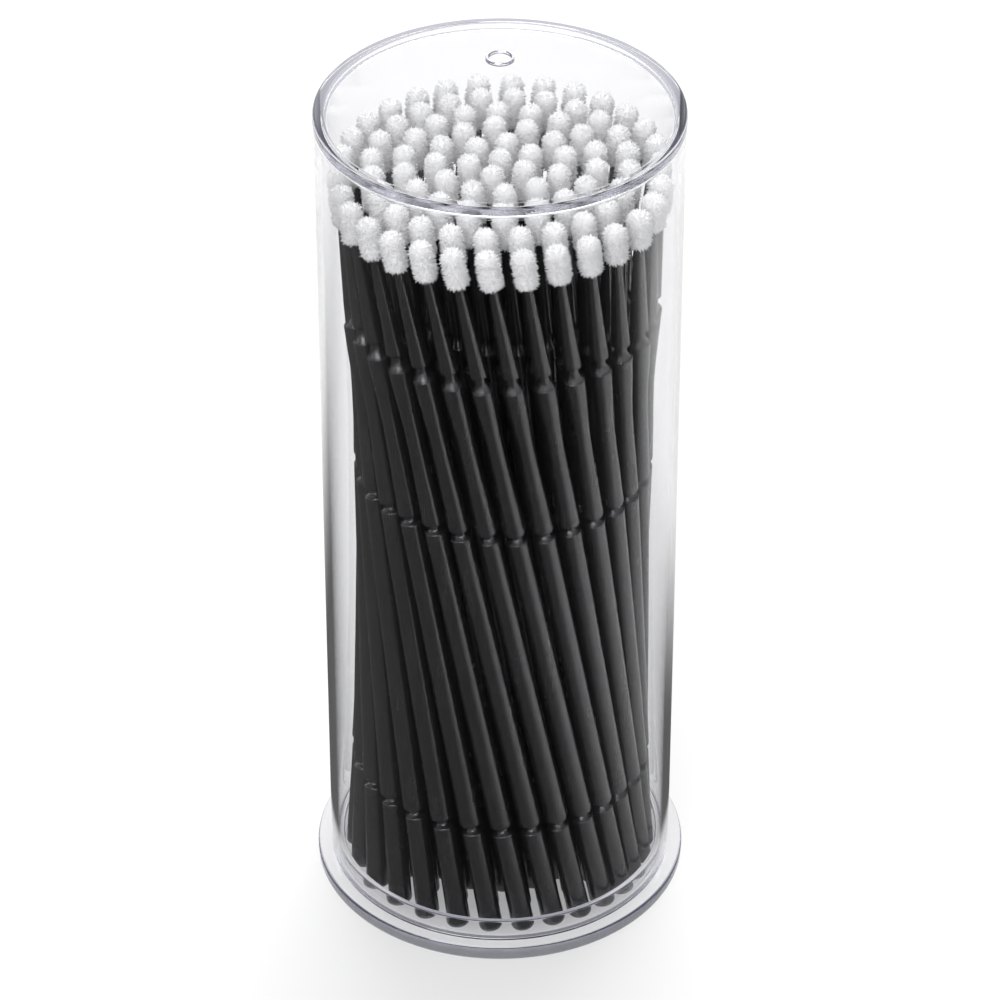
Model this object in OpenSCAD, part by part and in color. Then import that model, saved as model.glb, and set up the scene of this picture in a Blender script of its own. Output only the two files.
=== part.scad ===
// Clear tube of micro applicators, standing on its flanged end cap.
// Millimetres, +Z up, origin at the middle of the cap's underside.
// The closed end of the tube is at the top, and the applicators stand
// on the cap with their flocked heads up, all leaning the same way round.

/* [Applicator] */
// Length of one applicator, foot to tip
applicator_l = 100; // [80:1:120]
// Diameter of the handle at its thick foot
foot_d = 2.8; // [2.4:0.02:3.2]
// Diameter of the handle just below a notch
shoulder_d = 2.6; // [2.3:0.02:3.0]
// Diameter of the waist of the upper grip
waist_d = 2.05; // [1.6:0.05:2.4]
// Diameter of the two lower notches, where the handle snaps
notch_d = 1.35; // [1.0:0.05:1.6]
// Diameter of the long neck just above the top notch
neck_foot_d = 2.15; // [1.8:0.05:2.4]
// Diameter of the long neck under the head
neck_d = 1.15; // [0.9:0.05:1.5]
// Height of the lowest notch above the foot
notch_low = 14.9; // [12:0.1:20]
// Height of the middle notch above the foot
notch_mid = 58.8; // [50:0.1:62]
// Height of the top notch above the foot
notch_top = 81.8; // [78:0.1:84]
// Rounding of the foot
foot_round = 0.65; // [0.3:0.05:0.9]
// Half height of the straight bottom of a notch
notch_half = 0.2; // [0.1:0.05:0.3]
// Height of the flare from a lower notch down to the full handle
flare_low = 0.45; // [0.3:0.05:0.8]
// Height of the flare from the top notch down to the full handle
flare_top = 1.2; // [0.8:0.1:1.6]
// Rounding of the edges beside the notches
edge_round = 0.18; // [0.1:0.02:0.2]
// Rounding of the handle's ends just above the notches
grip_round = 0.55; // [0.3:0.05:0.6]

/* [Flocked head] */
// Diameter of the head over its fibres
head_d = 2.85; // [2.2:0.05:3.2]
// Length of the head
head_l = 5.2; // [4:0.1:7]
// How far the core under the flock is set in from the neck
core_inset = 0.05; // [0.02:0.01:0.1]
// Gap between the flock and the core that it is glued to
glue_gap = 0.02; // [0.01:0.01:0.05]

/* [Tube] */
// Outer diameter of the tube
tube_d = 42.6; // [38:0.2:60]
// Thickness of the tube wall
tube_wall = 0.85; // [0.6:0.05:1.2]
// Free height between the tips and the closed end
head_room = 4.3; // [3:0.1:12]
// Thickness of the closed end
end_t = 0.7; // [0.6:0.1:2]
// Depth of the recess above the closed end
recess_depth = 0.7; // [0.6:0.1:2.5]
// Width of the rim round the recess
rim_w = 1.4; // [1.3:0.1:2.5]
// Rounding of the rim's two edges
rim_round = 0.35; // [0.2:0.05:0.5]
// How far the band at the closed end stands proud of the wall
band_proud = 0.1; // [0.05:0.05:0.3]
// Height of that band
band_h = 1.6; // [1:0.1:6]
// Diameter of the moulded ring on the closed end
mark_d = 3.4; // [2.5:0.1:5]
// Width of the moulded ring
mark_w = 0.38; // [0.3:0.02:0.6]
// Height of the moulded ring
mark_h = 0.35; // [0.2:0.05:0.5]
// Distance of the moulded ring from the tube's axis
mark_r = 12.7; // [8:0.1:16]

/* [End cap] */
// How far the flange reaches past the tube
flange_reach = 1.7; // [1:0.1:4]
// Thickness of the flange
flange_t = 1.8; // [1.4:0.1:4]
// Rounding of the flange's edges
flange_round = 0.6; // [0.3:0.05:0.65]
// Height of the plug ring that goes into the tube
plug_h = 2.6; // [1.5:0.1:6]
// Thickness of the plug ring
plug_wall = 0.7; // [0.6:0.05:1.5]
// Gap between the plug ring and the tube
plug_gap = 0.1; // [0.05:0.01:0.2]

/* [Bundle] */
// Free width between neighbouring rings of applicators
ring_gap = 0.72; // [0.6:0.02:2]
// Free width between the outermost heads and the wall
head_gap = 0.35; // [0.3:0.05:1.5]
// Free width between the outermost feet and the plug ring
foot_gap = 0.15; // [0.1:0.05:1]
// Clearance that keeps a foot just off the floor of the cap
seat_gap = 0.02; // [0.01:0.01:0.05]
// Mean turn of the bundle between tips and feet, in degrees
twist = 52; // [0:1:56]
// How much that turn grows on the leaning side and falls on the other
twist_swing = 10; // [0:1:11]
// Direction of the side that leans most, in degrees
lean_side = 215; // [0:5:355]
// Stagger of each ring against the one inside it, in degrees
ring_stagger = 17; // [0:1:60]
// Largest shift of a single tip or foot out of its place
scatter = 0.1; // [0:0.01:0.12]

/* [Hidden] */

clear_plastic = [0.84, 0.85, 0.90, 0.35];
black_plastic = [0.05, 0.05, 0.055];
white_flock = [0.95, 0.95, 0.94];

ROUND_FN = 120;
STICK_FN = 40;
ARC_STEPS = 4;
SECTORS = 6;
SEED = 41;

// Tube and cap, from the cap's underside up
tube_r = tube_d / 2;
bore_r = tube_r - tube_wall;
flange_r = tube_r + flange_reach;
floor_z = flange_t;
end_z = floor_z + applicator_l + head_room;
recess_z = end_z + end_t;
overall_h = recess_z + recess_depth;
band_r = tube_r + band_proud;
recess_r = band_r - rim_w;
plug_r = bore_r - plug_gap;
plug_bore_r = plug_r - plug_wall;
plug_lead = plug_wall / 3;

// Applicator, from its foot up
foot_r = foot_d / 2;
shoulder_r = shoulder_d / 2;
notch_r = notch_d / 2;
neck_foot_r = neck_foot_d / 2;
core_r = neck_d / 2 - core_inset;
head_r = head_d / 2;
head_z = applicator_l - head_l;
core_top = applicator_l - head_r / 2;
tip_round = head_r * 0.85;
hem_round = head_r * 0.4;

// Bundle: rings of applicators about the tube's axis
tip_ring_r = bore_r - head_gap - head_r;
foot_ring_r = plug_bore_r - foot_gap - foot_r;
rings = floor(tip_ring_r / (foot_d + ring_gap));

// Points of an arc, by its centre, its radius and two angles
function arc(x, y, r, from, to) =
    [for (i = [0:ARC_STEPS]) let (a = from + (to - from) * i / ARC_STEPS)
        [x + r * cos(a), y + r * sin(a)]];

// The top of a handle segment: a rounded edge, then a hollow flare up to the notch
function shoulder(r, z, neck_r, flare_h) =
    concat(arc(r - edge_round, z - edge_round, edge_round, 0, 90),
           [for (i = [1:ARC_STEPS]) let (u = i / ARC_STEPS)
               [neck_r + (r - edge_round - neck_r) * (1 - sin(90 * u)), z + flare_h * u]]);

// The bottom of a handle segment: a rounded end just above a notch
function grip_end(r, z) =
    let (q = min(grip_round, 0.9 * (r - notch_r)))
    arc(r - q, z + q, q, -90, 0);

// Half section of the handle
handle_section = concat(
    [[0, 0]],
    arc(foot_r - foot_round, foot_round, foot_round, -90, 0),
    shoulder(shoulder_r, notch_low - notch_half - flare_low, notch_r, flare_low),
    [[notch_r, notch_low + notch_half]],
    grip_end(foot_r, notch_low + notch_half),
    shoulder(shoulder_r, notch_mid - notch_half - flare_low, notch_r, flare_low),
    [[notch_r, notch_mid + notch_half]],
    grip_end(shoulder_r, notch_mid + notch_half),
    upper_grip(),
    shoulder(shoulder_r, notch_top - notch_half - flare_top, notch_r, flare_top),
    [[notch_r, notch_top + notch_half],
     [neck_foot_r - edge_round, notch_top + 2 * notch_half],
     [neck_foot_r, notch_top + 2 * notch_half + edge_round],
     [neck_d / 2, head_z],
     [core_r, head_z],
     [core_r, core_top - core_r / 2],
     [core_r / 2, core_top],
     [0, core_top]]);

// Smooth waist of the upper grip, narrowest two fifths of the way down
function upper_grip() =
    let (low = notch_mid + notch_half + grip_round,
         high = notch_top - notch_half - flare_top - edge_round,
         waist_z = high - (high - low) * 0.42)
    [for (z = [low + (waist_z - low) * 0.4, low + (waist_z - low) * 0.7, waist_z,
               waist_z + (high - waist_z) * 0.3, waist_z + (high - waist_z) * 0.65])
        [waist_d / 2 + (shoulder_r - waist_d / 2) * waist_share(z, low, waist_z, high), z]];

// 0 at the waist and 1 at either end, along half a cosine
function waist_share(z, low, waist_z, high) =
    let (u = z < waist_z ? (waist_z - z) / (waist_z - low) : (z - waist_z) / (high - waist_z))
    (1 - cos(180 * u)) / 2;

// Place of one applicator: ring n, slot s of its 6n slots
function slot_turn(n, s) = n == 0 ? 0 : 360 * s / (SECTORS * n) + ring_stagger * n;
function turn_at(a) = twist + twist_swing * cos(a - lean_side);
function place(n, s) =
    let (a = slot_turn(n, s),
         shift = rands(-scatter, scatter, 4, SEED + 100 * n + s),
         b = a + turn_at(a),
         tip_r = tip_ring_r * n / rings,
         spot_r = foot_ring_r * n / rings)
    [[tip_r * cos(a) + shift[0], tip_r * sin(a) + shift[1]],
     [spot_r * cos(b) + shift[2], spot_r * sin(b) + shift[3]]];

// Moves what stands upright on the origin to an applicator's place and lean
module at_place(p) {
    run = p[0] - p[1];
    lean = asin(norm(run) / applicator_l);
    lift = seat_gap + foot_round * (1 - cos(lean)) + (foot_r - foot_round) * sin(lean);
    translate([p[1][0], p[1][1], floor_z + lift])
        rotate([0, lean, atan2(run[1], run[0])])
            children();
}

// Everything in one sixth of the bundle; the middle applicator goes with the first
module each_in_sector(k) {
    if (k == 0) at_place(place(0, 0)) children();
    for (n = [1:rings], s = [k * n:k * n + n - 1])
        at_place(place(n, s)) children();
}

module handles(k) {
    color(black_plastic)
        each_in_sector(k)
            rotate_extrude($fn = STICK_FN) polygon(handle_section);
}

module heads(k) {
    color(white_flock)
        each_in_sector(k)
            rotate_extrude($fn = STICK_FN)
                difference() {
                    polygon(concat(
                        [[0, head_z + glue_gap]],
                        arc(head_r - hem_round, head_z + glue_gap + hem_round, hem_round, -90, 0),
                        arc(head_r - tip_round, applicator_l - tip_round, tip_round, 0, 90),
                        [[0, applicator_l]]));
                    translate([-head_r, head_z - head_r])
                        square([head_r + core_r + glue_gap, head_r + core_top + glue_gap - head_z]);
                }
}

// One moulding: straight wall, closed end, recess with its rim, band and ring mark
module tube() {
    color(clear_plastic) {
        rotate_extrude($fn = ROUND_FN)
            polygon(concat(
                [[bore_r, floor_z], [tube_r, floor_z], [tube_r, overall_h - band_h],
                 [band_r, overall_h - band_h]],
                arc(band_r - rim_round, overall_h - rim_round, rim_round, 0, 90),
                arc(recess_r + rim_round, overall_h - rim_round, rim_round, 90, 180),
                [[recess_r, recess_z], [0, recess_z], [0, end_z], [bore_r, end_z]]));
        translate([0, mark_r, recess_z])
            difference() {
                cylinder(r = mark_d / 2, h = mark_h, $fn = STICK_FN);
                translate([0, 0, -mark_h])
                    cylinder(r = mark_d / 2 - mark_w, h = 3 * mark_h, $fn = STICK_FN);
            }
    }
}

// One moulding: flange that the tube stands on, and a plug ring with a lead-in
module end_cap() {
    color(clear_plastic)
        rotate_extrude($fn = ROUND_FN)
            polygon(concat(
                [[0, 0]],
                arc(flange_r - flange_round, flange_round, flange_round, -90, 0),
                arc(flange_r - flange_round, flange_t - flange_round, flange_round, 0, 90),
                [[plug_r, flange_t], [plug_r, flange_t + plug_h - plug_lead],
                 [plug_r - plug_lead, flange_t + plug_h], [plug_bore_r, flange_t + plug_h],
                 [plug_bore_r, flange_t], [0, flange_t]]));
}

tube();
end_cap();
handles(0);  // applicator_handles_1
handles(1);  // applicator_handles_2
handles(2);  // applicator_handles_3
handles(3);  // applicator_handles_4
handles(4);  // applicator_handles_5
handles(5);  // applicator_handles_6
heads(0);  // flocked_heads_1
heads(1);  // flocked_heads_2
heads(2);  // flocked_heads_3
heads(3);  // flocked_heads_4
heads(4);  // flocked_heads_5
heads(5);  // flocked_heads_6
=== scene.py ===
"""Looks of a clear tube of micro applicators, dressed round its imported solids."""
import logging
import math
from dataclasses import dataclass
from enum import Enum
from typing import Any, Iterable, Sequence

import bmesh
import bpy
import numpy as np
from mathutils import Matrix, Vector


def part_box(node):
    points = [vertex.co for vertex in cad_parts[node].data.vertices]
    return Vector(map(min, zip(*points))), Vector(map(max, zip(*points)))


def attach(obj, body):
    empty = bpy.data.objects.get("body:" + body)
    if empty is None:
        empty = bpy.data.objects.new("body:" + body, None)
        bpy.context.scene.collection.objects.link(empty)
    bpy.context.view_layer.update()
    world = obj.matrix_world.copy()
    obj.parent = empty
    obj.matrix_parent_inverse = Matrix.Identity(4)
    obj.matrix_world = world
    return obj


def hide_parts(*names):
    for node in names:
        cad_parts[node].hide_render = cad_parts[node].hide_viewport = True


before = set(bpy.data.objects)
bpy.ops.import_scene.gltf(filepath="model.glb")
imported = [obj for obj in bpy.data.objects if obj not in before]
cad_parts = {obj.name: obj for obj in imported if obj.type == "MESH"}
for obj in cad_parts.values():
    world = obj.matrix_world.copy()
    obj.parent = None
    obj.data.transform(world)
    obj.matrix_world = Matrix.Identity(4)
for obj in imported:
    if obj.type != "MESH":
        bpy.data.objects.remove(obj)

log = logging.getLogger("applicator_tube")

MM = 0.001
SHARP_DEGREES = 35.0
GUARD = 0.03 * MM
WHITE = (1.0, 1.0, 1.0)
Profile = list[tuple[float, float]]
Triple = tuple[float, float, float]
Colour = Triple


class Body(str, Enum):
    """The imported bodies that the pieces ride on."""

    CAP = "cap_with_applicators"
    TUBE = "tube"


class Slot(str, Enum):
    """The record's material slots."""

    TUBE = "clear_tube"
    CAP = "clear_cap"
    HANDLE = "black_handle"
    FLOCK = "white_flock"


class Maths:
    """One value socket that takes part in Python arithmetic by adding Math nodes."""

    def __init__(self, maker: "NodeMaker", socket: bpy.types.NodeSocket) -> None:
        """Wraps a socket of a node that the maker's tree holds."""
        self.maker = maker
        self.socket = socket

    def _math(self, operation: str, first: Any, second: Any) -> "Maths":
        """Adds one Math node.

        Args:
            operation: The Math node's operation.
            first: Its first value or link.
            second: Its second value or link.

        Returns:
            The node's result, wrapped.
        """
        node = self.maker.node("ShaderNodeMath", {"operation": operation}, {0: first, 1: second})
        return Maths(self.maker, node.outputs[0])

    def __add__(self, other: Any) -> "Maths":
        """This value plus another."""
        return self._math("ADD", self, other)

    __radd__ = __add__

    def __sub__(self, other: Any) -> "Maths":
        """This value less another."""
        return self._math("SUBTRACT", self, other)

    def __rsub__(self, other: Any) -> "Maths":
        """Another value less this one."""
        return self._math("SUBTRACT", other, self)

    def __mul__(self, other: Any) -> "Maths":
        """This value times another."""
        return self._math("MULTIPLY", self, other)

    __rmul__ = __mul__

    def larger(self, other: Any) -> "Maths":
        """The larger of this value and another."""
        return self._math("MAXIMUM", self, other)

    def above(self, threshold: float) -> "Maths":
        """1 where this value is above a threshold, and 0 elsewhere."""
        return self._math("GREATER_THAN", self, threshold)

    def power(self, exponent: Any) -> "Maths":
        """This value raised to an exponent."""
        return self._math("POWER", self, exponent)

    def ramp(self, low: float, high: float) -> "Maths":
        """0 up to a low value, 1 from a high one, and smooth between them."""
        node = self.maker.node("ShaderNodeMapRange", {"interpolation_type": "SMOOTHSTEP"},
                               {"Value": self, "From Min": low, "From Max": high})
        return Maths(self.maker, node.outputs[0])


class NodeMaker:
    """Adds nodes to one tree, each with its settings first and then its sockets."""

    def __init__(self, tree: bpy.types.NodeTree) -> None:
        """Empties the tree and takes it over."""
        self.tree = tree
        tree.nodes.clear()

    def node(self, kind: str, settings: dict[str, Any] | None = None,
             sockets: dict[Any, Any] | None = None) -> bpy.types.Node:
        """Adds one node.

        Args:
            kind: The node's type, such as "ShaderNodeMix".
            settings: Properties of the node; "stops" holds a colour ramp's stops.
            sockets: Values or links, by input name or number.

        Returns:
            The new node.
        """
        made = self.tree.nodes.new(kind)
        for name, value in (settings or {}).items():
            if name == "stops":
                self._set_stops(made, value)
            else:
                setattr(made, name, value)
        for name, value in (sockets or {}).items():
            self.feed(made.inputs[name], value)
        return made

    def feed(self, socket: bpy.types.NodeSocket, value: Any) -> None:
        """Gives an input its value, or links it to another node's output."""
        if isinstance(value, Maths):
            value = value.socket
        if isinstance(value, bpy.types.NodeSocket):
            self.tree.links.new(value, socket)
        else:
            socket.default_value = value

    def value(self, kind: str, settings: dict[str, Any] | None = None,
              sockets: dict[Any, Any] | None = None, output: Any = 0) -> Maths:
        """Adds one node and wraps one of its outputs for arithmetic."""
        return Maths(self, self.node(kind, settings, sockets).outputs[output])

    @staticmethod
    def _set_stops(node: bpy.types.Node, stops: Sequence[tuple[float, Colour]]) -> None:
        """Gives a colour ramp its stops, each a position and a colour."""
        elements = node.color_ramp.elements
        while len(elements) < len(stops):
            elements.new(1.0)
        for element, (position, colour) in zip(elements, stops):
            element.position = position
            element.color = (*colour, 1.0)


def new_material(name: str) -> tuple[bpy.types.Material, NodeMaker]:
    """Makes an empty node material.

    Args:
        name: The material's name.

    Returns:
        The material, and the maker of its nodes.
    """
    material = bpy.data.materials.new(name)
    material.use_nodes = True
    return material, NodeMaker(material.node_tree)


def light_path(maker: NodeMaker) -> dict[str, Maths]:
    """Adds one Light Path node and wraps each of its outputs, by name."""
    return {output.name: Maths(maker, output)
            for output in maker.node("ShaderNodeLightPath").outputs}


def opaque(colour: Colour) -> tuple[float, float, float, float]:
    """A colour with full alpha, as a colour socket takes it."""
    return (*colour, 1.0)


def noise(maker: NodeMaker, scale: float, stretch: Triple = (1, 1, 1),
          detail: float = 2.0) -> Maths:
    """A noise pattern on Object coordinates.

    Args:
        maker: The material's node maker.
        scale: Repeats in a metre.
        stretch: How the pattern is scaled along X, Y and Z.
        detail: Octaves of the noise.

    Returns:
        The pattern, from 0 to 1 about 0.5.
    """
    place = maker.node("ShaderNodeTexCoord").outputs["Object"]
    mapped = maker.node("ShaderNodeMapping", {}, {"Vector": place, "Scale": stretch})
    return maker.value("ShaderNodeTexNoise", {"noise_dimensions": "3D"},
                       {"Vector": mapped.outputs[0], "Scale": scale, "Detail": detail})


def tint(maker: NodeMaker, factor: Any, low: Colour, high: Colour) -> bpy.types.NodeSocket:
    """A colour between two, by a factor.

    Args:
        maker: The material's node maker.
        factor: A value from 0 to 1.
        low: The colour at 0.
        high: The colour at 1.

    Returns:
        The colour's socket.
    """
    mix = maker.node("ShaderNodeMix", {"data_type": "RGBA"},
                     {"Factor": factor, 6: opaque(low), 7: opaque(high)})
    return mix.outputs[2]


@dataclass(frozen=True)
class ClearStyrene:
    """Clear polished moulded plastic with a faint lilac cast in its depth."""

    name: str
    colour: Colour = (0.958, 0.958, 0.966)
    ior: float = 1.59
    shine_tint: float = 0.03
    roughness: float = 0.012
    waves_per_metre: float = 55.0
    wave_stretch: Triple = (1, 1, 0.5)
    wave_height: float = 0.02 * MM
    haze_per_metre: float = 330.0
    depth_colour: Colour = (0.60, 0.60, 0.675)
    depth_density: float = 8.0
    trapped_colour: Colour = (0.60, 0.60, 0.66)
    most_reflections: float = 1.5
    most_bounces: float = 8.5

    def material(self) -> bpy.types.Material:
        """Makes the material: it bends sight but lets lamps through to what it holds.

        A ray that has been reflected more often than most_reflections inside the plastic goes
        straight on in trapped_colour, where the bounce limit would end it black.
        """
        material, maker = new_material(self.name)
        waves = noise(maker, self.waves_per_metre, self.wave_stretch)
        bump = maker.node("ShaderNodeBump", {}, {
            "Strength": 1.0, "Distance": self.wave_height, "Height": waves})
        haze = noise(maker, self.haze_per_metre)
        plastic = maker.node("ShaderNodeBsdfPrincipled", {}, {
            "Base Color": opaque(self.colour),
            "Roughness": haze * self.roughness,
            "IOR": self.ior,
            "Transmission Weight": 1.0,
            "Specular Tint": opaque((self.shine_tint,) * 3),
            "Normal": bump.outputs[0]})
        through = maker.node("ShaderNodeBsdfTransparent", {}, {"Color": opaque(self.colour)})
        deep = maker.node("ShaderNodeBsdfTransparent", {}, {"Color": opaque(self.trapped_colour)})
        path = light_path(maker)
        trapped = path["Glossy Depth"].above(self.most_reflections).larger(
            path["Ray Depth"].above(self.most_bounces))
        bent = maker.node("ShaderNodeMixShader", {}, {
            0: trapped, 1: plastic.outputs[0], 2: deep.outputs[0]})
        mixed = maker.node("ShaderNodeMixShader", {}, {
            0: path["Is Shadow Ray"].larger(path["Is Diffuse Ray"]),
            1: bent.outputs[0], 2: through.outputs[0]})
        depth = maker.node("ShaderNodeVolumeAbsorption", {}, {
            "Color": opaque(self.depth_colour), "Density": self.depth_density})
        maker.node("ShaderNodeOutputMaterial", {}, {
            "Surface": mixed.outputs[0], "Volume": depth.outputs[0]})
        return material


@dataclass(frozen=True)
class SatinHandle:
    """Black moulded polypropylene with a satin skin and faint flow lines."""

    name: str = "satin_black_handle"
    dark: Colour = (0.005, 0.005, 0.0053)
    light: Colour = (0.013, 0.013, 0.0135)
    ior: float = 1.85
    roughness: float = 0.26
    roughness_swing: float = 0.08
    flow_per_metre: float = 900.0
    flow_stretch: Triple = (1, 1, 0.08)
    grain_per_metre: float = 9000.0
    grain_height: float = 0.003 * MM

    def material(self) -> bpy.types.Material:
        """Makes the material, with flow lines that run along the handles."""
        material, maker = new_material(self.name)
        flow = noise(maker, self.flow_per_metre, self.flow_stretch)
        grain = noise(maker, self.grain_per_metre)
        bump = maker.node("ShaderNodeBump", {}, {
            "Strength": 1.0, "Distance": self.grain_height, "Height": grain + flow})
        skin = maker.node("ShaderNodeBsdfPrincipled", {}, {
            "Base Color": tint(maker, flow, self.dark, self.light),
            "Roughness": self.roughness + self.roughness_swing * (flow - 0.5),
            "IOR": self.ior,
            "Normal": bump.outputs[0]})
        maker.node("ShaderNodeOutputMaterial", {}, {"Surface": skin.outputs[0]})
        return material


@dataclass(frozen=True)
class WhiteFlock:
    """Short white nylon fibre, a little greyer in patches."""

    name: str = "white_flock_fibre"
    dark: Colour = (0.94, 0.94, 0.943)
    light: Colour = (0.98, 0.98, 0.98)
    patches_per_metre: float = 1500.0
    roughness: float = 0.7
    roughness_swing: float = 0.2
    ior: float = 1.4
    sheen: float = 0.5

    def material(self) -> bpy.types.Material:
        """Makes the material of the fibres and of the flock's ground."""
        material, maker = new_material(self.name)
        patches = noise(maker, self.patches_per_metre)
        fibre = maker.node("ShaderNodeBsdfPrincipled", {}, {
            "Base Color": tint(maker, patches, self.dark, self.light),
            "Roughness": self.roughness + self.roughness_swing * patches,
            "IOR": self.ior,
            "Sheen Weight": self.sheen})
        maker.node("ShaderNodeOutputMaterial", {}, {"Surface": fibre.outputs[0]})
        return material


def arc(centre: tuple[float, float], radius: float, start: float, end: float,
        steps: int = 10) -> Profile:
    """Points of an arc in a half section.

    Args:
        centre: The arc's centre, as radius and height.
        radius: The arc's radius.
        start: Its first angle, in degrees.
        end: Its last angle, in degrees.
        steps: How many chords it has.

    Returns:
        The points, both ends included.
    """
    turns = np.radians(np.linspace(start, end, steps + 1))
    return [(centre[0] + radius * math.cos(t), centre[1] + radius * math.sin(t)) for t in turns]


def guarded(profile: Profile, guard: float = GUARD) -> Profile:
    """Adds points close to the ends of long straight runs, so that they shade flat.

    Args:
        profile: A closed half section.
        guard: How far from an end the new point lies.

    Returns:
        The half section with the points added.
    """
    made: Profile = []
    for (r0, z0), (r1, z1) in zip(profile, profile[1:] + profile[:1]):
        made.append((r0, z0))
        length = math.hypot(r1 - r0, z1 - z0)
        if length > 4 * guard and max(r0, r1) > 0:
            for share in (guard / length, 1 - guard / length):
                made.append((r0 + (r1 - r0) * share, z0 + (z1 - z0) * share))
    return made


def turned(name: str, profile: Profile, segments: int,
           sharp_degrees: float = SHARP_DEGREES) -> bpy.types.Mesh:
    """Turns a closed half section about Z into a closed mesh.

    Args:
        name: The mesh's name.
        profile: Points as radius and height, with the solid on the left as they run.
        segments: Faces round the axis.
        sharp_degrees: The bend past which an edge is shown sharp.

    Returns:
        The mesh, with its faces outwards.
    """
    mesh = bmesh.new()
    turns = np.linspace(0, 2 * math.pi, segments, endpoint=False)
    rings = []
    for r, z in profile:
        if r <= 0:
            rings.append([mesh.verts.new((0, 0, z))] * segments)
        else:
            rings.append([mesh.verts.new((r * math.cos(t), r * math.sin(t), z)) for t in turns])
    for low, high in zip(rings, rings[1:] + rings[:1]):
        for j in range(segments):
            k = (j + 1) % segments
            corners = list(dict.fromkeys((low[j], low[k], high[k], high[j])))
            if len(corners) > 2:
                mesh.faces.new(corners)
    for face in mesh.faces:
        face.smooth = True
    made = bpy.data.meshes.new(name)
    mesh.to_mesh(made)
    mesh.free()
    made.set_sharp_from_angle(angle=math.radians(sharp_degrees))
    return made


def add_object(mesh: bpy.types.Mesh) -> bpy.types.Object:
    """Links a mesh to the scene as an object of the same name, at the origin."""
    made = bpy.data.objects.new(mesh.name, mesh)
    bpy.context.scene.collection.objects.link(made)
    return made


def plain_mesh(obj: bpy.types.Object) -> bpy.types.Mesh:
    """The mesh that an object's modifiers give, as a mesh of its own."""
    graph = bpy.context.evaluated_depsgraph_get()
    return bpy.data.meshes.new_from_object(obj.evaluated_get(graph), preserve_all_data_layers=True,
                                           depsgraph=graph)


def triangles(obj: bpy.types.Object) -> int:
    """How many triangles an object's mesh has."""
    return sum(len(face.vertices) - 2 for face in obj.data.polygons)


def settle(obj: bpy.types.Object, body: Body, replaced: Iterable[str]) -> None:
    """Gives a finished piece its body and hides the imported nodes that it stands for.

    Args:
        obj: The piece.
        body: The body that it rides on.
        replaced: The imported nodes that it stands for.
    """
    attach(obj, body.value)
    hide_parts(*replaced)
    log.info("%s: %d triangles on %s", obj.name, triangles(obj), body.value)


@dataclass
class ClosedTube:
    """The tube: straight wall, closed end in a recess, rim, band and ring mark."""

    finish: ClearStyrene
    node: str = "tube"
    wall: float = 0.85 * MM
    band_proud: float = 0.1 * MM
    band_height: float = 1.6 * MM
    band_round: float = 0.05 * MM
    end_thickness: float = 0.7 * MM
    recess_depth: float = 0.7 * MM
    rim_width: float = 1.4 * MM
    rim_round: float = 0.35 * MM
    inner_round: float = 0.3 * MM
    mouth_round: float = 0.12 * MM
    seat_gap: float = 0.02 * MM
    mark_radius: float = 1.7 * MM
    mark_width: float = 0.38 * MM
    mark_height: float = 0.35 * MM
    mark_reach: float = 12.7 * MM
    mark_segments: int = 72
    segments: int = 288

    def section(self) -> Profile:
        """The tube's half section, from its mouth round to the inside of its closed end."""
        low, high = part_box(self.node)
        band = high.x
        outer = band - self.band_proud
        bore = outer - self.wall
        recess = band - self.rim_width
        mouth = low.z + self.seat_gap
        top, floor = high.z, high.z - self.recess_depth
        ceiling = floor - self.end_thickness
        step = top - self.band_height
        return guarded([
            *arc((bore + self.mouth_round, mouth + self.mouth_round),
                 self.mouth_round, 180, 270, 4),
            *arc((outer - self.mouth_round, mouth + self.mouth_round),
                 self.mouth_round, -90, 0, 4),
            (outer, step),
            *arc((band - self.band_round, step + self.band_round), self.band_round, -90, 0, 3),
            *arc((band - self.rim_round, top - self.rim_round), self.rim_round, 0, 90),
            *arc((recess + self.rim_round, top - self.rim_round), self.rim_round, 90, 180),
            *arc((recess - self.inner_round, floor + self.inner_round),
                 self.inner_round, 0, -90, 6),
            (0, floor),
            (0, ceiling),
            *arc((bore - self.inner_round, ceiling - self.inner_round), self.inner_round, 90, 0, 6),
        ])

    def ring_mark(self) -> bpy.types.Object:
        """The small moulded ring, sunk a little into the closed end."""
        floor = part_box(self.node)[1].z - self.recess_depth
        sunk = floor - self.mark_height
        half = self.mark_width / 2
        middle = self.mark_radius - half
        profile = [(middle - half, sunk), (middle + half, sunk),
                   *arc((middle, floor + self.mark_height - half), half, 0, 180)]
        mesh = turned("ring_mark", profile, self.mark_segments)
        mesh.transform(Matrix.Translation((0, self.mark_reach, 0)))
        return add_object(mesh)

    def build(self) -> bpy.types.Object:
        """Makes the tube's mesh with its ring mark joined on, and dresses it."""
        shell = add_object(turned("tube_shell", self.section(), self.segments))
        mark = self.ring_mark()
        join = shell.modifiers.new("ring_mark", "BOOLEAN")
        join.operation = "UNION"
        join.solver = "EXACT"
        join.object = mark
        mesh = plain_mesh(shell)
        mesh.name = "clear_tube_wall"
        for spare in (shell, mark):
            bpy.data.objects.remove(spare)
        mesh.materials.clear()
        mesh.materials.append(self.finish.material())
        mesh.shade_smooth()
        mesh.set_sharp_from_angle(angle=math.radians(SHARP_DEGREES))
        made = add_object(mesh)
        settle(made, Body.TUBE, [self.node])
        return made


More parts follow.
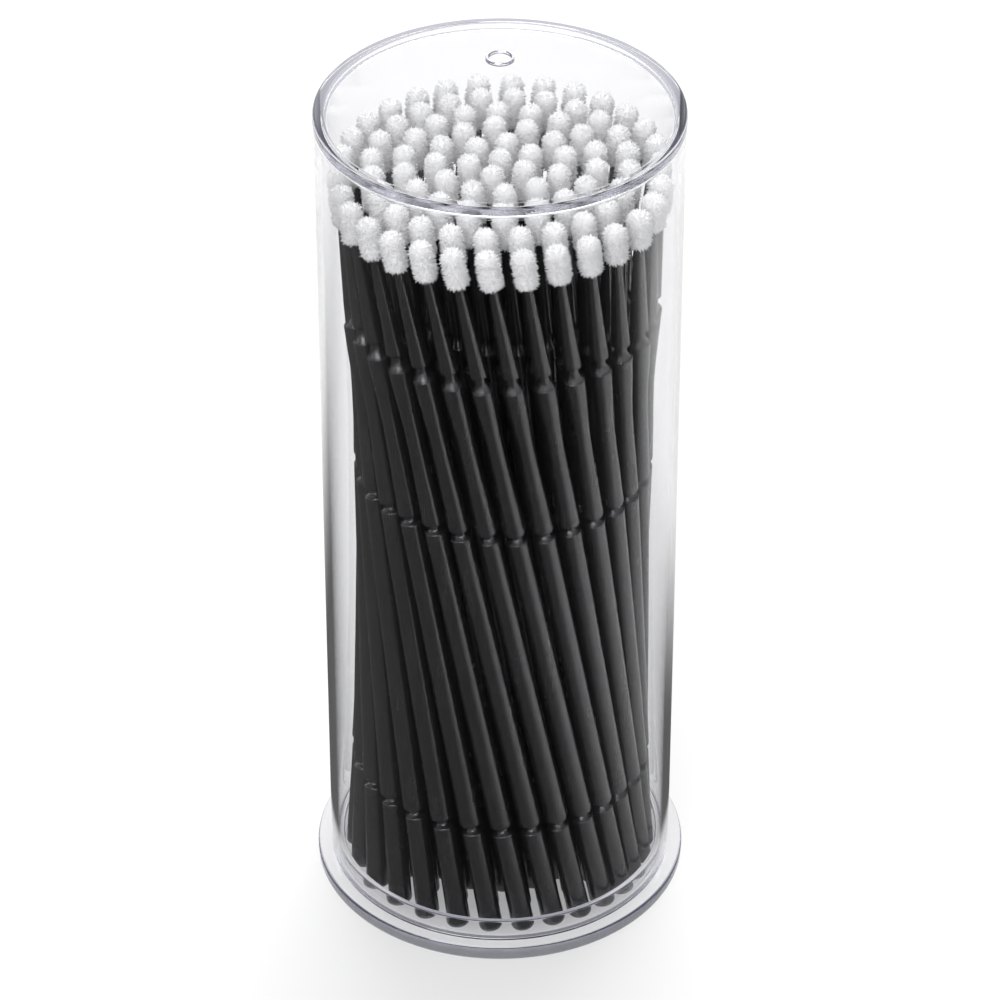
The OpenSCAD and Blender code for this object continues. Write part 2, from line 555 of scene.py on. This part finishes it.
@dataclass
class EndCap:
    """The end cap: a round flange with a plug ring that goes into the tube."""

    finish: ClearStyrene
    node: str = "end_cap"
    flange_thickness: float = 1.8 * MM
    flange_reach: float = 1.7 * MM
    flange_round: float = 0.6 * MM
    tube_wall: float = 0.85 * MM
    plug_gap: float = 0.1 * MM
    plug_wall: float = 0.7 * MM
    plug_round: float = 0.2 * MM
    root_round: float = 0.15 * MM
    segments: int = 288

    def section(self) -> Profile:
        """The cap's half section, from the middle of its underside round to its floor."""
        low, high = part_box(self.node)
        edge = high.x
        plug = edge - self.flange_reach - self.tube_wall - self.plug_gap
        inside = plug - self.plug_wall
        seat = low.z + self.flange_thickness
        top = high.z
        return guarded([
            (0, low.z),
            *arc((edge - self.flange_round, low.z + self.flange_round), self.flange_round, -90, 0),
            *arc((edge - self.flange_round, seat - self.flange_round), self.flange_round, 0, 90),
            *arc((plug + self.root_round, seat + self.root_round), self.root_round, -90, -180, 4),
            *arc((plug - self.plug_round, top - self.plug_round), self.plug_round, 0, 90, 6),
            *arc((inside + self.plug_round, top - self.plug_round), self.plug_round, 90, 180, 6),
            *arc((inside - self.root_round, seat + self.root_round), self.root_round, 0, -90, 4),
            (0, seat),
        ])

    def build(self) -> bpy.types.Object:
        """Makes the cap's mesh and dresses it."""
        mesh = turned("clear_end_cap", self.section(), self.segments)
        mesh.materials.append(self.finish.material())
        made = add_object(mesh)
        settle(made, Body.CAP, [self.node])
        return made


@dataclass
class Handles:
    """The black handles, shown as packed in a satin finish."""

    finish: SatinHandle
    prefix: str = "applicator_handles_"

    def build(self) -> None:
        """Gives every packed handle node the satin finish."""
        material = self.finish.material()
        for name, node in sorted(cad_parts.items()):
            if name.startswith(self.prefix):
                node.data.materials.clear()
                node.data.materials.append(material)
                log.info("%s: dressed as packed, %d triangles", name, triangles(node))


@dataclass
class FlockedHeads:
    """The white heads: a ground under the flock, and its short fibres."""

    finish: WhiteFlock
    prefix: str = "flocked_heads_"
    ground_depth: float = 0.28 * MM
    fibre_length: float = 0.55 * MM
    fibre_width: float = 0.24 * MM
    fibres_per_head: int = 950
    shortest: float = 0.4
    long_share: float = 1.5
    breadth: tuple[float, float] = (0.5, 1.2)
    most_lean_degrees: float = 28.0
    ground_segments: int = 22
    hem_round: float = 0.4 * MM
    tip_share: float = 0.92
    side_shares: tuple[float, float] = (0.33, 0.66)
    same_place: float = 0.001 * MM
    seed: int = 7

    def places(self, node: str) -> list[tuple[Matrix, float, float]]:
        """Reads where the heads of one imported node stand.

        Args:
            node: The node's name.

        Returns:
            For each head, a matrix that stands it at its lower end along its own axis,
            then its radius and its length.
        """
        copy = bmesh.new()
        copy.from_mesh(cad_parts[node].data)
        bmesh.ops.remove_doubles(copy, verts=copy.verts, dist=self.same_place)
        found, left = [], set(copy.verts)
        while left:
            reached = [left.pop()]
            for vertex in reached:
                for edge in vertex.link_edges:
                    other = edge.other_vert(vertex)
                    if other in left:
                        left.remove(other)
                        reached.append(other)
            found.append(self._stand(np.array([vertex.co for vertex in reached])))
        copy.free()
        return sorted(found, key=lambda place: tuple(place[0].translation))

    @staticmethod
    def _stand(points: np.ndarray) -> tuple[Matrix, float, float]:
        """Works out one head's stand, radius and length from its points."""
        middle = points.mean(0)
        axis = np.linalg.svd(points - middle, full_matrices=False)[2][0]
        axis = axis * np.sign(axis[2])
        along = (points - middle) @ axis
        across = np.linalg.norm(points - middle - np.outer(along, axis), axis=1)
        foot = Vector(middle + axis * along.min())
        turn = Vector(axis).to_track_quat("Z", "Y").to_matrix().to_4x4()
        return Matrix.Translation(foot) @ turn, float(across.max()), float(np.ptp(along))

    def ground(self, node: str) -> bpy.types.Object:
        """Makes the ground that the fibres stand on, inside each head's packed form."""
        mesh = bmesh.new()
        for stand, radius, length in self.places(node):
            low, top = self.ground_depth, length - self.ground_depth
            inside = radius - self.ground_depth
            tip, hem = inside * self.tip_share, self.hem_round
            straight = top - tip - low
            profile = [(0, low), *arc((inside - hem, low + hem), hem, -90, 0, 3),
                       *((inside, low + straight * share) for share in self.side_shares),
                       *arc((inside - tip, top - tip), tip, 0, 90, 6)[:-1], (0, top)]
            head = turned("ground", profile, self.ground_segments, 180.0)
            head.transform(stand)
            mesh.from_mesh(head)
            bpy.data.meshes.remove(head)
        made = bpy.data.meshes.new(node.replace(self.prefix, "flock_"))
        mesh.to_mesh(made)
        mesh.free()
        return add_object(made)

    @staticmethod
    def chance(maker: NodeMaker, low: Any, high: Any, seed: int) -> Maths:
        """A random value between two, one for each fibre."""
        return maker.value("FunctionNodeRandomValue", {"data_type": "FLOAT"},
                           {2: low, 3: high, "Seed": seed}, 1)

    def pile_tree(self, material: bpy.types.Material) -> tuple[bpy.types.NodeTree,
                                                               dict[str, str]]:
        """Builds the tree that scatters fibres over a ground.

        Args:
            material: The finish of fibres and ground.

        Returns:
            The tree, and its inputs' identifiers by name.
        """
        tree = bpy.data.node_groups.new("flock_pile", "GeometryNodeTree")
        maker = NodeMaker(tree)
        tree.interface.new_socket("Geometry", in_out="INPUT", socket_type="NodeSocketGeometry")
        tree.interface.new_socket("Geometry", in_out="OUTPUT", socket_type="NodeSocketGeometry")
        wanted = {"Density": "NodeSocketFloat", "Length": "NodeSocketFloat",
                  "Width": "NodeSocketFloat", "Shortest": "NodeSocketFloat",
                  "Long Share": "NodeSocketFloat", "Lean": "NodeSocketFloat",
                  "Seed": "NodeSocketInt"}
        names = {name: tree.interface.new_socket(name, in_out="INPUT", socket_type=kind).identifier
                 for name, kind in wanted.items()}
        given = maker.node("NodeGroupInput").outputs
        points = maker.node("GeometryNodeDistributePointsOnFaces",
                            {"distribute_method": "RANDOM"},
                            {"Mesh": given["Geometry"], "Density": given["Density"],
                             "Seed": given["Seed"]})
        fibre = maker.node("GeometryNodeMeshCone", {"fill_type": "NONE"}, {
            "Vertices": 3, "Radius Top": 0.0, "Radius Bottom": given["Width"],
            "Depth": given["Length"]})
        lean = Maths(maker, given["Lean"])
        euler = maker.node("ShaderNodeCombineXYZ", {}, {
            0: self.chance(maker, 0.0 - lean, lean, 1),
            1: self.chance(maker, 0.0 - lean, lean, 2),
            2: self.chance(maker, 0.0, 2 * math.pi, 3)})
        tilted = maker.node("FunctionNodeRotateRotation", {"rotation_space": "LOCAL"}, {
            0: points.outputs["Rotation"], 1: euler.outputs[0]})
        shortest = Maths(maker, given["Shortest"])
        long = self.chance(maker, 0.0, 1.0, 4).power(given["Long Share"])
        size = shortest + (1.0 - shortest) * long
        breadth = self.chance(maker, *self.breadth, 5)
        scale = maker.node("ShaderNodeCombineXYZ", {}, {0: breadth, 1: breadth, 2: size})
        placed = maker.node("GeometryNodeInstanceOnPoints", {}, {
            "Points": points.outputs["Points"], "Instance": fibre.outputs["Mesh"],
            "Rotation": tilted.outputs[0], "Scale": scale.outputs[0]})
        joined = maker.node("GeometryNodeJoinGeometry")
        for part in (given["Geometry"], placed.outputs[0]):
            tree.links.new(part, joined.inputs[0])
        real = maker.node("GeometryNodeRealizeInstances", {}, {0: joined.outputs[0]})
        smooth = maker.node("GeometryNodeSetShadeSmooth", {}, {0: real.outputs[0]})
        dressed = maker.node("GeometryNodeSetMaterial", {}, {
            "Geometry": smooth.outputs[0], "Material": material})
        maker.node("NodeGroupOutput", {}, {0: dressed.outputs[0]})
        return tree, names

    def build(self) -> None:
        """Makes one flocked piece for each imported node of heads."""
        tree, names = self.pile_tree(self.finish.material())
        nodes = sorted(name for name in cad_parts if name.startswith(self.prefix))
        for order, node in enumerate(nodes):
            ground = self.ground(node)
            area = sum(face.area for face in ground.data.polygons)
            heads = len(self.places(node))
            pile = ground.modifiers.new("pile", "NODES")
            pile.node_group = tree
            inputs = {"Density": heads * self.fibres_per_head / area, "Length": self.fibre_length,
                      "Width": self.fibre_width / 2, "Shortest": self.shortest,
                      "Long Share": self.long_share, "Lean": math.radians(self.most_lean_degrees),
                      "Seed": self.seed + order}
            for name, value in inputs.items():
                pile[names[name]] = value
            mesh = plain_mesh(ground)
            mesh.name = ground.name + "_heads"
            bpy.data.objects.remove(ground)
            settle(add_object(mesh), Body.CAP, [node])


@dataclass(frozen=True)
class Softbox:
    """One rectangular softbox: its place and size in metres, and its power in watts."""

    name: str
    place: Triple
    size: tuple[float, float]
    power: float

    def hang(self, target: Vector) -> None:
        """Hangs the softbox so that it faces a point."""
        data = bpy.data.lights.new(self.name, "AREA")
        data.shape = "RECTANGLE"
        data.size, data.size_y = self.size
        data.energy = self.power
        lamp = bpy.data.objects.new(self.name, data)
        bpy.context.scene.collection.objects.link(lamp)
        lamp.location = self.place
        lamp.rotation_mode = "QUATERNION"
        lamp.rotation_quaternion = (target - Vector(self.place)).to_track_quat("-Z", "Y")
        lamp.visible_camera = False


@dataclass
class Studio:
    """The floor, the light and the camera.

    The floor's painted light edges are values of side weight times x plus y, in metres: to
    reflected rays the floor shows painted shade below the first and a painted pool of white light
    above the second, which makes painted highlights on the handles and the wall. The inner pair is
    for what the handles reflect, through the tube's wall.
    """

    distance: float = 561.0 * MM
    elevation_degrees: float = 35.2
    look_height: float = 53.17 * MM
    lens: float = 167.65
    sensor: float = 36.0
    nearest_seen: float = 10 * MM
    floor_side: float = 6.0
    floor_colour: Colour = (0.52, 0.52, 0.52)
    floor_lift: float = 0.36
    # painted shade: the flat dark glow that reflected rays see on the floor outside the painted
    # light
    painted_shade_colour: Colour = (0.14, 0.14, 0.14)
    side_weight: float = 0.3
    inner_side_weight: float = 2.4
    # edges of the painted pool of light that reflected rays see; no painted shade within base_reach
    # of the middle
    painted_light_edge: tuple[float, float] = (0.03, 0.09)
    inner_painted_light_edge: tuple[float, float] = (-0.06, 0.14)
    base_reach: tuple[float, float] = (0.023, 0.026)
    wall_crossings: float = 2.5
    reflections: float = 0.5
    floor_drop: float = 0.05 * MM
    world_light: float = 0.70
    dome: tuple[tuple[float, Colour], ...] = (
        (0.0, WHITE), (0.30, (0.95, 0.95, 0.96)), (0.48, (0.50, 0.50, 0.55)),
        (0.80, (0.42, 0.42, 0.47)), (0.90, (0.85, 0.85, 0.86)), (1.0, WHITE))
    softboxes: tuple[Softbox, ...] = (
        Softbox("overhead", (0.05, 0.42, 0.8), (0.42, 0.42), 5.2),
        Softbox("front_key", (-0.25, -0.85, 0.8), (0.8, 0.8), 6.0))
    lamp_target: Triple = (0.0, 0.0, 0.06)

    def camera(self) -> None:
        """Places the camera in front of the tube, looking down at its middle."""
        data = bpy.data.cameras.new("camera")
        data.lens = self.lens
        data.sensor_width = self.sensor
        data.clip_start = self.nearest_seen
        camera = bpy.data.objects.new("camera", data)
        bpy.context.scene.collection.objects.link(camera)
        rise = math.radians(self.elevation_degrees)
        back = Vector((0, -math.cos(rise), math.sin(rise)))
        camera.location = Vector((0, 0, self.look_height)) + back * self.distance
        camera.rotation_mode = "QUATERNION"
        camera.rotation_quaternion = (-back).to_track_quat("-Z", "Y")
        bpy.context.scene.camera = camera

    @staticmethod
    def seen_directly(maker: NodeMaker) -> Maths:
        """1 for the rays to the camera, in gloss and through clear parts, 0 for others."""
        path = light_path(maker)
        return path["Is Camera Ray"].larger(path["Is Glossy Ray"]).larger(
            path["Is Transmission Ray"])

    def floor_material(self) -> bpy.types.Material:
        """Makes the floor's material: white where seen, painted shade and painted light in
        reflections.
        """
        material, maker = new_material("pale_floor")
        matt = maker.node("ShaderNodeBsdfDiffuse", {}, {"Color": opaque(self.floor_colour)})
        lift = maker.node("ShaderNodeEmission", {}, {
            "Color": opaque(WHITE), "Strength": self.floor_lift * self.seen_directly(maker)})
        both = maker.node("ShaderNodeAddShader", {}, {0: matt.outputs[0], 1: lift.outputs[0]})
        place = maker.node("ShaderNodeTexCoord").outputs["Object"]
        side = maker.node("ShaderNodeSeparateXYZ", {}, {0: place}).outputs
        reach = maker.value("ShaderNodeVectorMath", {"operation": "LENGTH"}, {0: place}, "Value")
        path = light_path(maker)
        inner = path["Transmission Depth"].above(self.wall_crossings)
        right, back = Maths(maker, side[0]), Maths(maker, side[1])
        # Painted light and painted shade for reflected rays: a pool of white towards the right and
        # back, which paints the highlights on the handles and the wall, and flat dark elsewhere
        # except close round the base.
        outer_painted_light = (right * self.side_weight + back).ramp(*self.painted_light_edge)
        inner_painted_light = (right * self.inner_side_weight + back).ramp(*self.inner_painted_light_edge)
        painted_light = outer_painted_light + inner * (inner_painted_light - outer_painted_light)
        painted_shade = (1.0 - painted_light) * reach.ramp(*self.base_reach)
        bounced = path["Glossy Depth"].above(self.reflections)
        # The painted shade that reflected rays see: a flat dark glow, not a lamp.
        dim = maker.node("ShaderNodeEmission", {}, {
            "Color": opaque(self.painted_shade_colour), "Strength": 1.0})
        mixed = maker.node("ShaderNodeMixShader", {}, {
            0: bounced * painted_shade, 1: both.outputs[0], 2: dim.outputs[0]})
        maker.node("ShaderNodeOutputMaterial", {}, {"Surface": mixed.outputs[0]})
        return material

    def floor(self) -> None:
        """Lays a pale floor just under the tube."""
        mesh = bpy.data.meshes.new("floor")
        half = self.floor_side / 2
        mesh.from_pydata([(x, y, -self.floor_drop)
                          for x, y in ((-half, -half), (half, -half), (half, half), (-half, half))],
                         [], [(0, 1, 2, 3)])
        mesh.materials.append(self.floor_material())
        floor = add_object(mesh)

    def world(self) -> None:
        """Sets a plain soft surround: white where it is seen, a grey dome in reflections."""
        world = bpy.data.worlds.new("studio")
        world.use_nodes = True
        bpy.context.scene.world = world
        maker = NodeMaker(world.node_tree)
        way = maker.node("ShaderNodeTexCoord").outputs["Generated"]
        height = maker.node("ShaderNodeSeparateXYZ", {}, {0: way}).outputs[2]
        dome = maker.node("ShaderNodeValToRGB", {"stops": self.dome}, {0: height})
        shown = maker.node("ShaderNodeBackground", {}, {"Color": dome.outputs[0], "Strength": 1.0})
        plain = maker.node("ShaderNodeBackground", {}, {
            "Color": opaque(WHITE), "Strength": self.world_light})
        white = maker.node("ShaderNodeBackground", {}, {"Color": opaque(WHITE), "Strength": 1.0})
        path = light_path(maker)
        first = maker.node("ShaderNodeMixShader", {}, {
            0: path["Is Glossy Ray"].larger(path["Is Transmission Ray"]),
            1: plain.outputs[0], 2: shown.outputs[0]})
        second = maker.node("ShaderNodeMixShader", {}, {
            0: path["Is Camera Ray"], 1: first.outputs[0], 2: white.outputs[0]})
        maker.node("ShaderNodeOutputWorld", {}, {"Surface": second.outputs[0]})

    def build(self) -> None:
        """Sets up the whole studio."""
        self.camera()
        self.floor()
        self.world()
        for softbox in self.softboxes:
            softbox.hang(Vector(self.lamp_target))


def main() -> None:
    """Builds the studio and the pieces, and reports each one."""
    logging.basicConfig(level=logging.INFO, format="%(name)s: %(message)s")
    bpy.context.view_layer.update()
    bpy.context.scene.view_settings.view_transform = "Standard"
    Studio().build()
    ClosedTube(ClearStyrene("clear_tube_plastic")).build()
    EndCap(ClearStyrene("clear_cap_plastic")).build()
    Handles(SatinHandle()).build()
    FlockedHeads(WhiteFlock()).build()


if __name__ == "__main__":
    main()
